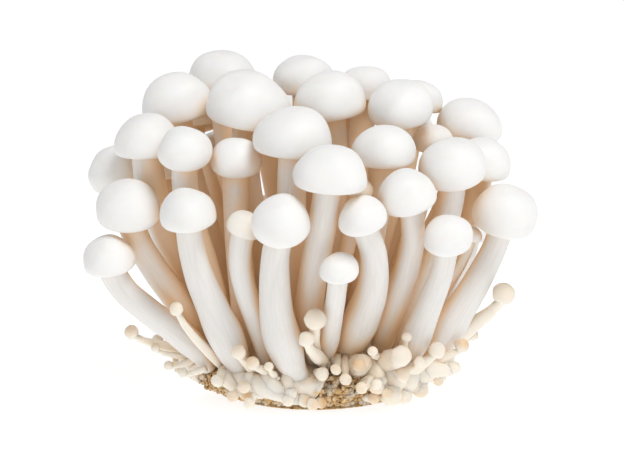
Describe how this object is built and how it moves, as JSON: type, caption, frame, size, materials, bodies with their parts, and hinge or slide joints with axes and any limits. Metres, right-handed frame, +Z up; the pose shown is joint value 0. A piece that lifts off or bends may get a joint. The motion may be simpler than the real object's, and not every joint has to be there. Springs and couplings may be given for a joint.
{
  "type": "shimeji mushroom bunch",
  "caption": "Bunch of white shimeji (beech) mushrooms with domed caps and bent stems, standing upright on its flat cut butt of white tissue and brown sawdust substrate.",
  "frame": {"origin": "middle of the bounding box in plan, on the surface that the cut foot stands on", "axes": "+Z up; -Y towards the side that is seen in the picture; +X to the right of that view, along the bunch's longest extent"},
  "size_m": [0.1176, 0.1, 0.0874],
  "materials": {
    "mushroom_flesh": "white, satin, faintly fibrous mushroom flesh",
    "mycelium": "white to cream, matte, uneven fungal tissue",
    "sawdust": "golden-brown crumbly sawdust substrate, matte"
  },
  "bodies": {
    "root": {"mushroom_01": "mushroom_flesh", "mushroom_02": "mushroom_flesh", "mushroom_03": "mushroom_flesh", "mushroom_04": "mushroom_flesh", "mushroom_05": "mushroom_flesh", "mushroom_06": "mushroom_flesh", "mushroom_07": "mushroom_flesh", "mushroom_08": "mushroom_flesh", "mushroom_09": "mushroom_flesh", "mushroom_10": "mushroom_flesh", "mushroom_11": "mushroom_flesh", "mushroom_12": "mushroom_flesh", "mushroom_13": "mushroom_flesh", "mushroom_14": "mushroom_flesh", "mushroom_15": "mushroom_flesh", "mushroom_16": "mushroom_flesh", "mushroom_17": "mushroom_flesh", "mushroom_18": "mushroom_flesh", "mushroom_19": "mushroom_flesh", "mushroom_20": "mushroom_flesh", "mushroom_21": "mushroom_flesh", "mushroom_22": "mushroom_flesh", "mushroom_23": "mushroom_flesh", "mushroom_24": "mushroom_flesh", "mushroom_25": "mushroom_flesh", "mushroom_26": "mushroom_flesh", "mushroom_27": "mushroom_flesh", "mushroom_28": "mushroom_flesh", "mushroom_29": "mushroom_flesh", "mushroom_30": "mushroom_flesh", "mushroom_31": "mushroom_flesh", "mushroom_32": "mushroom_flesh", "mushroom_33": "mushroom_flesh", "mushroom_34": "mushroom_flesh", "mushroom_35": "mushroom_flesh", "mushroom_36": "mushroom_flesh", "mushroom_37": "mushroom_flesh", "mushroom_38": "mushroom_flesh", "mushroom_39": "mushroom_flesh", "mushroom_40": "mushroom_flesh", "mushroom_41": "mushroom_flesh", "mushroom_42": "mushroom_flesh", "mushroom_43": "mushroom_flesh", "mushroom_44": "mushroom_flesh", "substrate": "sawdust", "tissue_and_pins": "mycelium"}
  },
  "joints": []
}
